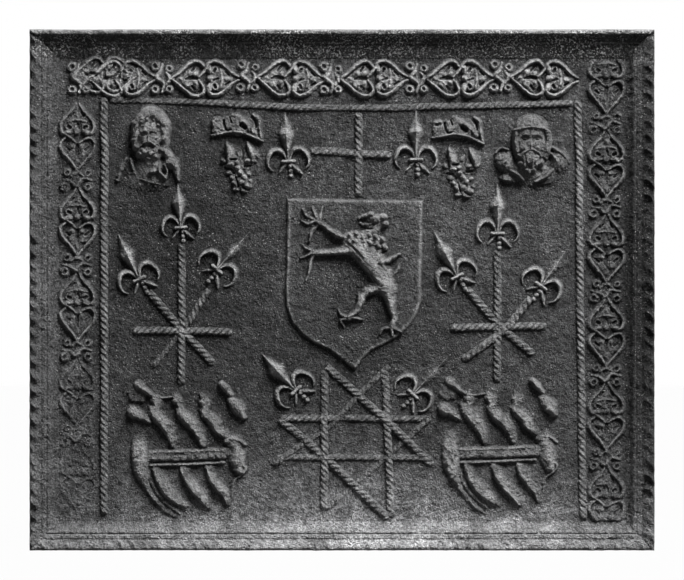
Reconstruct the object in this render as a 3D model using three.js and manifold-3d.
// A cast-iron fireback: a thick plate with a moulded frame, lengths of rope, a frieze of
// lozenge cartouches, and a field of stamped badges, busts and a lion on a shield.
// Millimetres, +Z up, the ornament faces -Y. The origin is under the middle of the base.
import * as THREE from 'three';
import { mergeVertices } from 'three/addons/utils/BufferGeometryUtils.js';
import Module from 'manifold-3d';

// Driving sizes.
const WIDTH = 960;
const HEIGHT = 800;
const BACK_Y = 24;
const PLATE_THICKNESS = 26;
const FRAME_HEIGHT = 22;
const FRAME_WIDTH = 44;
const SHIELD_HEIGHT = 5.5;
const GAP = 0.3;
const ROPE_WIDTH = 13;
const ROPE_HEIGHT = 6.5;
const STRAND_PITCH = 16;
const FRIEZE_HEIGHT = 6;
const CARTOUCHE_LENGTH = 106;
const LINK_OFFSET = 65.5;

const wasm = await Module();
wasm.setup();

// ---------- solids ----------

function toSolid(geometry) {
  const bare = new THREE.BufferGeometry();
  bare.setAttribute('position', geometry.getAttribute('position'));
  if (geometry.index) {
    bare.setIndex(geometry.index);
  }
  const merged = mergeVertices(bare, 1e-4);
  return new wasm.Manifold(new wasm.Mesh({
    numProp: 3,
    vertProperties: new Float32Array(merged.getAttribute('position').array),
    triVerts: new Uint32Array(merged.index.array),
  }));
}

function fromSolid(solid) {
  const mesh = solid.getMesh();
  const geometry = new THREE.BufferGeometry();
  geometry.setAttribute('position', new THREE.BufferAttribute(mesh.vertProperties, 3));
  geometry.setIndex(new THREE.BufferAttribute(mesh.triVerts, 1));
  geometry.computeVertexNormals();
  return geometry;
}

// Joins overlapping bodies into one closed body.
function weld(geometries) {
  let whole = toSolid(geometries[0]);
  for (const geometry of geometries.slice(1)) {
    whole = whole.add(toSolid(geometry));
  }
  return fromSolid(whole);
}

// Closes rings of equal length into one body. A ring runs from the right foot over the top
// to the left foot, looking along the body.
function loft(rings) {
  const count = rings[0].length;
  const faces = [];
  for (let i = 0; i < rings.length - 1; i += 1) {
    for (let j = 0; j < count; j += 1) {
      const a = i * count + j;
      const b = i * count + ((j + 1) % count);
      faces.push(a, a + count, b + count, a, b + count, b);
    }
  }
  const last = (rings.length - 1) * count;
  for (let j = 1; j < count - 1; j += 1) {
    faces.push(0, j, j + 1);
    faces.push(last, last + j + 1, last + j);
  }
  const geometry = new THREE.BufferGeometry();
  geometry.setAttribute('position', new THREE.Float32BufferAttribute(rings.flat(2), 3));
  geometry.setIndex(faces);
  return geometry;
}

// A chamfered bar along points [x, y, width, height], lying on the plate.
function bar(points) {
  const rings = points.map(([x, y, width, height], i) => {
    const before = points[Math.max(i - 1, 0)];
    const after = points[Math.min(i + 1, points.length - 1)];
    const step = Math.hypot(after[0] - before[0], after[1] - before[1]);
    const across = [(before[1] - after[1]) / step, (after[0] - before[0]) / step];
    return [[-0.5, 0], [-0.22, 1], [0.22, 1], [0.5, 0]].map(([side, rise]) => [
      x + across[0] * width * side,
      y + across[1] * width * side,
      height * rise,
    ]);
  });
  return loft(rings);
}

function mirrored(points) {
  return points.map(([x, y, width, height]) => [-x, y, width, height]);
}

// Bars on both sides of the upright centre line.
function pair(points) {
  return [bar(points), bar(mirrored(points))];
}

// A flat stamp cut from a closed outline, with pierced openings.
function slab(outline, openings, height) {
  const shape = new THREE.Shape(outline.map(([x, y]) => new THREE.Vector2(x, y)));
  shape.holes = openings.map((hole) => new THREE.Path(hole.map(([x, y]) => new THREE.Vector2(x, y))));
  return new THREE.ExtrudeGeometry(shape, { depth: height, bevelEnabled: false });
}

// Half an egg, lying on the plate.
function dome(x, y, radiusX, radiusY, height) {
  const profile = [[0, 0], [1, 0], [0.92, 0.4], [0.7, 0.72], [0.36, 0.94], [0, 1]];
  const geometry = new THREE.LatheGeometry(profile.map(([r, h]) => new THREE.Vector2(r, h)), 12);
  geometry.rotateX(Math.PI / 2);
  geometry.scale(radiusX, radiusY, height);
  geometry.translate(x, y, 0);
  return geometry;
}

// A laid rope along points [x, y]: each strand is a crest that crosses the rope at a slant.
function rope(points) {
  const path = new THREE.CurvePath();
  for (let i = 0; i < points.length - 1; i += 1) {
    const [from, to] = [points[i], points[i + 1]];
    path.add(new THREE.LineCurve(new THREE.Vector2(...from), new THREE.Vector2(...to)));
  }
  const halves = 2 * Math.round(path.getLength() / STRAND_PITCH);
  const slant = STRAND_PITCH * 0.28;
  const rings = [];
  for (let i = 0; i <= halves; i += 1) {
    const spot = path.getPointAt(i / halves);
    const along = path.getTangentAt(i / halves);
    const crest = i % 2 === 1;
    const half = (ROPE_WIDTH / 2) * (crest ? 1 : 0.8);
    const height = ROPE_HEIGHT * (crest ? 1 : 0.62);
    const shift = i === 0 || i === halves ? 0 : slant;
    rings.push([[-1, 0], [0, 1], [1, 0]].map(([side, rise]) => [
      spot.x - along.y * half * side + along.x * shift * side,
      spot.y + along.x * half * side + along.y * shift * side,
      height * rise,
    ]));
  }
  return loft(rings);
}

// ---------- the assembly ----------

const fireback = new THREE.Group();
fireback.name = 'fireback';

// The relief is drawn flat, x to the right and y up, and stood up against the plate's face.
const relief = new THREE.Group();
relief.name = 'relief';
relief.rotation.x = Math.PI / 2;
relief.position.y = BACK_Y - PLATE_THICKNESS - GAP;
fireback.add(relief);

function castIron(shade) {
  const color = new THREE.Color(shade, shade, shade * 1.02);
  return new THREE.MeshStandardMaterial({
    color, roughness: 0.6, metalness: 0.7, flatShading: true,
  });
}

function place(name, geometry, { x = 0, y = 0, lift = 0, turn = 0, scale = 1, shade = 0.07 } = {}) {
  const mesh = new THREE.Mesh(geometry, castIron(shade));
  mesh.name = name;
  mesh.position.set(x, y, lift);
  mesh.rotation.z = THREE.MathUtils.degToRad(turn);
  mesh.scale.set(scale, scale, 1);
  relief.add(mesh);
}

// ---------- plate ----------

const plate = new THREE.Mesh(
  new THREE.BoxGeometry(WIDTH, PLATE_THICKNESS, HEIGHT),
  castIron(0.06),
);
plate.name = 'back_plate';
plate.position.set(0, BACK_Y - PLATE_THICKNESS / 2, HEIGHT / 2);
fireback.add(plate);

// ---------- frame ----------

// A mitred length; the profile's points are [inward, height] from the outer edge.
function moulding(length, profile) {
  const ends = [0, 1].map((end) => profile.map(([inward, height]) => {
    const mitre = inward + GAP / 2;
    return [end ? length - mitre : mitre, inward, height];
  }));
  return loft(ends);
}

// The gadrooned outer band: slanted lobes side by side along the edge.
function gadroons(length, width, pitch, slant) {
  const halves = 2 * Math.round(length / pitch);
  const rings = [];
  for (let i = 0; i <= halves; i += 1) {
    const crest = i % 2 === 1;
    const levels = crest ? [13, 19, 18] : [8, 12, 15];
    const shift = i === 0 || i === halves ? 0 : slant;
    const profile = [[0, 0], [0, levels[0]], [width / 2, levels[1]], [width, levels[2]], [width, 0]];
    rings.push(profile.map(([inward, height]) => {
      const mitre = inward + GAP / 2;
      const run = mitre + (length - 2 * mitre) * (i / halves);
      return [run + shift * (inward / width - 0.5), inward, height];
    }));
  }
  return loft(rings);
}

const topProfile = [
  [0, 0], [0, 22], [7, 22], [9, 18], [16, 12], [26, 6.5], [36, 3], [44, 1.5], [44, 0],
];

function filletProfile(start) {
  return [
    [start, 0], [start, 15], [start + 3, FRAME_HEIGHT], [start + 8, FRAME_HEIGHT],
    [start + 9.5, 18], [start + 13, 18], [start + 15, 14],
    [FRAME_WIDTH - 1, 2], [FRAME_WIDTH, 0],
  ];
}

const sides = [
  { name: 'frame_left', length: HEIGHT, band: 17, pitch: 22, slant: -6, x: -480, y: 800, turn: -90 },
  { name: 'frame_right', length: HEIGHT, band: 21, pitch: 16.5, slant: 3, x: 480, y: 0, turn: 90 },
  { name: 'frame_bottom', length: WIDTH, band: 20, pitch: 20, slant: 4, x: -480, y: 0, turn: 0 },
];
for (const side of sides) {
  const plain = moulding(side.length, filletProfile(side.band - 1));
  const lobes = gadroons(side.length, side.band, side.pitch, side.slant);
  place(side.name, weld([plain, lobes]), side);
}
place('frame_top', moulding(WIDTH, topProfile), { x: 480, y: HEIGHT, turn: 180 });

// ---------- border ropes ----------

place('border_rope_left', rope([[-366, 54], [-366, 697]]));
place('border_rope_right', rope([[372, 46], [368, 300], [364, 692]]));
place('border_rope_top', rope([
  [-358, 693], [-187, 688], [-64, 681], [89, 681], [165, 684], [272, 685], [355, 688],
]));

// ---------- frieze ----------

// A lozenge with two lobes above and two below, pierced by four pockets.
const cartoucheOutline = [
  [-53, -1], [-36, -8], [-26, -22], [-15, -27], [-5, -25], [1, -17], [7, -24], [16, -26],
  [26, -21], [36, -8], [53, 0], [37, 7], [27, 20], [17, 27], [8, 25], [2, 18], [-5, 25],
  [-16, 27], [-26, 21], [-36, 7],
];
const cartouchePockets = [
  [[-33, 5], [-17, 6], [-7, 14], [-12, 22], [-22, 18]],
  [[33, 5], [24, 17], [14, 22], [6, 15], [16, 6]],
  [[-31, -7], [-20, -20], [-9, -21], [-4, -12], [-14, -5]],
  [[31, -7], [14, -5], [5, -12], [10, -20], [22, -18]],
];
// The link between two cartouches: four roundels about a small cross.
const linkOutline = [
  [-13, 8], [-17, 19], [-9, 24], [-4, 13], [0, 6], [4, 13], [9, 24], [17, 19], [13, 8],
  [6, 0], [13, -8], [17, -19], [9, -24], [4, -13], [0, -6], [-4, -13], [-9, -24],
  [-17, -19], [-13, -8], [-6, 0],
].reverse();

function friezeStamp({ linked = true, endCurls = false } = {}) {
  const bodies = [slab(cartoucheOutline, cartouchePockets, FRIEZE_HEIGHT)];
  const tip = CARTOUCHE_LENGTH / 2;
  if (linked) {
    const link = slab(linkOutline, [], FRIEZE_HEIGHT - 1);
    link.translate(-LINK_OFFSET, 0, 0);
    bodies.push(link, bar([[4 - tip, -0.5, 7, 5], [-73, -0.5, 5, 5]]));
  }
  if (endCurls) {
    bodies.push(bar([[tip - 5, 2, 6, 5], [tip + 2, 18, 10, 5]]));
    bodies.push(bar([[tip - 5, -2, 6, 5], [tip + 2, -16, 10, 5]]));
  }
  return weld(bodies);
}

// Cuts a stamp, placed upright at height y, where a frame moulding lies over it.
function trimmedStamp(options, y, low, high) {
  const stamp = friezeStamp(options);
  const keep = new THREE.BoxGeometry(high - low, 200, 40);
  keep.translate((low + high) / 2 - y, 0, 0);
  return fromSolid(toSolid(stamp).intersect(toSolid(keep)));
}

const FRIEZE_TOP_Y = 726;
const FRIEZE_LEFT_X = -405.5;
const FRIEZE_RIGHT_X = 407;
[-347, -210, -78, 50, 182, 312].forEach((x, i) => {
  place(`frieze_top_${i + 1}`, friezeStamp({ endCurls: i === 5 }), { x, y: FRIEZE_TOP_Y });
});
[636.5, 505.5, 374.5, 243.5, 112.5].forEach((y, i) => {
  const stamp = friezeStamp({ linked: i < 4 });
  place(`frieze_left_${i + 1}`, stamp, { x: FRIEZE_LEFT_X, y, turn: 90 });
});
[724, 595, 465, 335.5, 206.5, 77].forEach((y, i) => {
  const stamp = trimmedStamp({ linked: i < 5 }, y, FRAME_WIDTH + 0.5, HEIGHT - FRAME_WIDTH - 0.5);
  place(`frieze_right_${i + 1}`, stamp, { x: FRIEZE_RIGHT_X, y, turn: 90 });
});

// ---------- fleur-de-lis spearheads ----------

function spearhead() {
  return weld([
    bar([[0, -4, 6, 6], [0, 12, 7, 7], [0, 36, 29, 9], [0, 73, 1.5, 3]]),
    bar([[-13, 0, 8, 8], [13, 0, 8, 8]]),
    ...pair([[5, 0, 7, 6], [11, 16, 7, 7], [24, 18, 8, 7], [31, 6, 8, 7], [28, -9, 5, 5]]),
    ...pair([[4, -1, 6, 6], [11, -20, 5, 4]]),
  ]);
}

const spears = [
  { name: 'spearhead_cross_left', x: -82.6, y: 597.5, turn: 4 },
  { name: 'spearhead_cross_right', x: 114, y: 600, turn: 0 },
  { name: 'spearhead_left_trophy_top', x: -248, y: 495.7, turn: 4, scale: 0.9 },
  { name: 'spearhead_left_trophy_left', x: -312, y: 416, turn: 25 },
  { name: 'spearhead_left_trophy_right', x: -193, y: 431.5, turn: -41 },
  { name: 'spearhead_right_trophy_top', x: 239.6, y: 486.5, turn: 0 },
  { name: 'spearhead_right_trophy_left', x: 177.5, y: 420, turn: 27 },
  { name: 'spearhead_right_trophy_right', x: 306, y: 405.5, turn: -35 },
  { name: 'spearhead_lattice_left', x: -70.5, y: 245, turn: 43 },
  { name: 'spearhead_lattice_right', x: 108.6, y: 239.3, turn: -43 },
];
for (const spear of spears) {
  place(spear.name, spearhead(), spear);
}

// ---------- rope staffs ----------

place('rope_cross', weld([
  rope([[26, 543.5], [26, 673]]),
  rope([[-49, 615], [76, 608]]),
]));
place('left_trophy_ropes', weld([
  rope([[-247, 472], [-247, 254]]),
  rope([[-323, 338], [-169, 335.5]]),
  rope([[-297.4, 398.4], [-249.4, 341.2], [-197.4, 286]]),
  rope([[-205, 401], [-237.2, 350.4], [-292.2, 281.5]]),
]));
place('right_trophy_ropes', weld([
  rope([[239.6, 462], [239.6, 258]]),
  rope([[166, 342], [315, 344.3]]),
  rope([[192.6, 402.7], [244.2, 343.5], [295.3, 300]]),
  rope([[291.2, 387.9], [252.5, 342], [185, 292]]),
]));
place('lattice_ropes', weld([
  rope([[-27, 277], [-27, 61]]),
  rope([[65.8, 280], [76, 50]]),
  rope([[-23.7, 282.3], [62.3, 204.3], [140.3, 130]]),
  rope([[-96.4, 202], [-29, 143.8], [72, 49]]),
  rope([[73.4, 283], [30.6, 243.3], [-107, 130]]),
  rope([[136.2, 203.5], [-24.5, 61.2]]),
  rope([[-96.4, 203], [134.6, 202]]),
  rope([[-104, 143], [137.7, 142]]),
]));

// ---------- crowns ----------

function crown() {
  return weld([
    bar([[-39, -12, 9, 6], [-14, -16, 9, 7], [14, -16, 9, 7], [39, -12, 9, 6]]),
    bar([[-31, -14, 14, 6], [-32, 14, 17, 7]]),
    bar([[-15, -15, 6, 6], [-18, 4, 7, 6], [-11, 13, 7, 5]]),
    bar([[-4, -15, 6, 6], [-7, 4, 6, 7], [3, 17, 7, 7], [14, 6, 6, 7], [11, -15, 6, 6]]),
    bar([[25, -14, 8, 6], [29, 9, 11, 7], [35, 20, 4, 5]]),
  ]);
}
place('crown_left', crown(), { x: -161, y: 650 });
place('crown_right', crown(), { x: 179, y: 646 });

// ---------- eagle badges ----------

function eagle() {
  return weld([
    bar([[0, -18, 10, 6], [0, 4, 16, 9], [0, 18, 10, 7]]),
    bar([[0, 15, 9, 7], [-3, 29, 9, 7], [-12, 31, 3, 4]]),
    ...pair([[4, 10, 9, 7], [15, 25, 10, 7], [27, 33, 6, 5]]),
    ...pair([[11, 20, 7, 6], [18, 4, 7, 6], [16, -12, 4, 4]]),
    ...pair([[19, 27, 7, 6], [28, 10, 7, 6], [28, -6, 4, 4]]),
    ...pair([[4, -10, 6, 6], [15, -22, 5, 5]]),
    bar([[0, -15, 8, 7], [0, -37, 6, 4]]),
    ...pair([[3, -17, 6, 6], [10, -33, 5, 4]]),
  ]);
}
place('eagle_left', eagle(), { x: -157.6, y: 587 });
place('eagle_right', eagle(), { x: 184.4, y: 579 });

// ---------- busts ----------

// Head, hair and drapery in half relief; the features are plain and regular.
function bust({ hair, drapery }) {
  return weld([
    dome(0, 28, 46, 27, 13),
    bar([[0, 36, 40, 12], [2, 62, 26, 13]]),
    dome(4, 82, 23, 28, 17),
    bar([[-8, 90, 5, 16], [4, 92, 5, 18], [16, 90, 5, 16]]),
    bar([[4, 92, 5, 17], [4, 78, 8, 21]]),
    bar([[4, 72, 22, 18], [4, 60, 26, 16], [3, 46, 14, 14], [3, 36, 5, 12]]),
    ...hair.map(bar),
    ...drapery.map(bar),
  ]);
}
place('bust_left', bust({
  hair: [
    [[-18, 70, 10, 10], [-22, 90, 12, 12], [-13, 109, 12, 13], [7, 116, 12, 13],
      [25, 106, 13, 13], [31, 88, 14, 12], [26, 66, 12, 10]],
  ],
  drapery: [
    [[-44, 12, 16, 9], [-34, 34, 14, 12], [-12, 50, 10, 14]],
    [[16, 48, 10, 14], [32, 36, 16, 13], [44, 14, 14, 9]],
    [[-14, 8, 9, 12], [2, 34, 8, 15], [20, 12, 9, 12]],
  ],
}), { x: -300, y: 559 });
place('bust_right', bust({
  hair: [
    [[-19, 66, 9, 10], [-22, 84, 10, 12], [-14, 95, 10, 16], [4, 99, 10, 18],
      [22, 95, 10, 16], [30, 84, 10, 12], [27, 66, 9, 10]],
    [[-14, 98, 15, 12], [4, 104, 16, 13], [22, 97, 14, 12]],
  ],
  drapery: [
    [[-46, 14, 22, 11], [-42, 34, 20, 13], [-24, 46, 12, 14]],
    [[26, 48, 12, 14], [44, 38, 18, 12], [50, 16, 14, 9]],
    [[-20, 14, 9, 13], [4, 26, 9, 15], [26, 12, 9, 13]],
  ],
}), { x: 290, y: 561 });

// ---------- shield and lion ----------

const shieldOutline = [
  [-83, 359], [-67, 334], [-46, 318], [-17, 306], [-3, 296], [17, 279], [34, 301], [73, 320],
  [94, 337], [114, 363], [122, 383], [125, 539], [-86, 542], [-87, 383],
];
place('shield', slab(shieldOutline, [], SHIELD_HEIGHT));

// The lion rampant faces left: trunk, head and mane, four legs with claws, and tail.
const lion = weld([
  bar([[20, 492, 26, 9], [26, 466, 42, 11], [44, 436, 36, 10], [62, 408, 32, 11], [68, 394, 20, 9]]),
  dome(52, 509, 24, 15, 11),
  bar([[44, 508, 16, 9], [22, 510, 9, 6]]),
  bar([[54, 504, 22, 9], [38, 478, 24, 10]]),
  bar([[24, 478, 22, 9], [-2, 482, 14, 8], [-36, 503, 11, 7], [-46, 508, 12, 7]]),
  bar([[-44, 506, 7, 6], [-65, 508, 3, 3]]),
  bar([[-44, 508, 7, 6], [-60, 525, 3, 3]]),
  bar([[-42, 508, 7, 6], [-42, 528, 3, 3]]),
  bar([[14, 464, 20, 9], [-16, 461, 12, 8], [-50, 459, 11, 6]]),
  bar([[-48, 460, 7, 5], [-47, 443, 6, 5], [-60, 415, 3, 3]]),
  bar([[-48, 458, 6, 5], [-64, 452, 3, 3]]),
  bar([[58, 404, 28, 9], [36, 392, 19, 8], [31, 374, 12, 7], [14, 359, 12, 7]]),
  bar([[16, 360, 7, 6], [-6, 368, 3, 3]]),
  bar([[16, 360, 7, 6], [2, 345, 3, 3]]),
  bar([[66, 402, 30, 10], [72, 384, 20, 8], [76, 364, 12, 7], [72, 340, 14, 7]]),
  bar([[73, 342, 7, 5], [56, 334, 3, 3]]),
  bar([[73, 342, 7, 5], [88, 336, 3, 3]]),
  bar([[62, 410, 9, 7], [80, 424, 8, 6], [87, 434, 6, 5]]),
  bar([[56, 440, 9, 6], [72, 446, 9, 6], [90, 456, 3, 4]]),
]);
place('lion', lion, { lift: SHIELD_HEIGHT + GAP, shade: 0.08 });

// ---------- fire-steels with flames ----------

function fireSteel() {
  return weld([
    bar([[-72, 1, 17, 8], [57, 1, 17, 9]]),
    bar([[-60, -15, 5, 5], [54, -11, 5, 5]]),
    bar([[-77, 24, 15, 8], [-77, -6, 18, 9], [-70, -34, 13, 7]]),
    bar([[46, 6, 10, 8], [58, 27, 9, 8], [76, 25, 13, 9], [84, 0, 12, 9], [85, -18, 6, 7],
      [70, -30, 4, 5]]),
    bar([[-74, 113, 9, 7], [-60, 96, 6, 6], [-48, 91, 5, 6], [-22, 91, 5, 5]]),
    bar([[-86, 76, 10, 7], [-76, 66, 18, 8], [-58, 58, 8, 6], [-46, 58, 6, 6]]),
    bar([[-50, 92, 8, 6], [-53, 70, 13, 8], [-41, 52, 13, 9], [-30, 32, 10, 8], [-18, 4, 5, 6]]),
    bar([[-22, 92, 6, 6], [-13, 70, 12, 8], [-1, 54, 14, 9], [8, 38, 10, 8], [19, 4, 5, 6]]),
    bar([[24, 84, 11, 7], [24, 64, 11, 8], [38, 46, 12, 9], [56, 26, 6, 6]]),
    bar([[51, 115, 8, 7], [66, 96, 9, 8], [78, 76, 16, 9], [86, 58, 5, 6], [80, 22, 3, 6]]),
    bar([[-60, -4, 5, 6], [-54, -28, 10, 8], [-38, -52, 14, 9], [-15, -72, 5, 5]]),
    bar([[-18, -4, 5, 6], [-12, -26, 10, 8], [6, -50, 14, 9], [26, -72, 5, 5]]),
    bar([[24, -4, 5, 6], [28, -26, 9, 8], [42, -48, 12, 9], [59, -64, 4, 5]]),
    bar([[-72, -28, 5, 6], [-62, -54, 6, 5], [-47, -76, 3, 3]]),
  ]);
}
place('fire_steel_left', fireSteel(), { x: -235.6, y: 144 });
place('fire_steel_right', fireSteel(), { x: 243.3, y: 148.4 });

export default fireback;
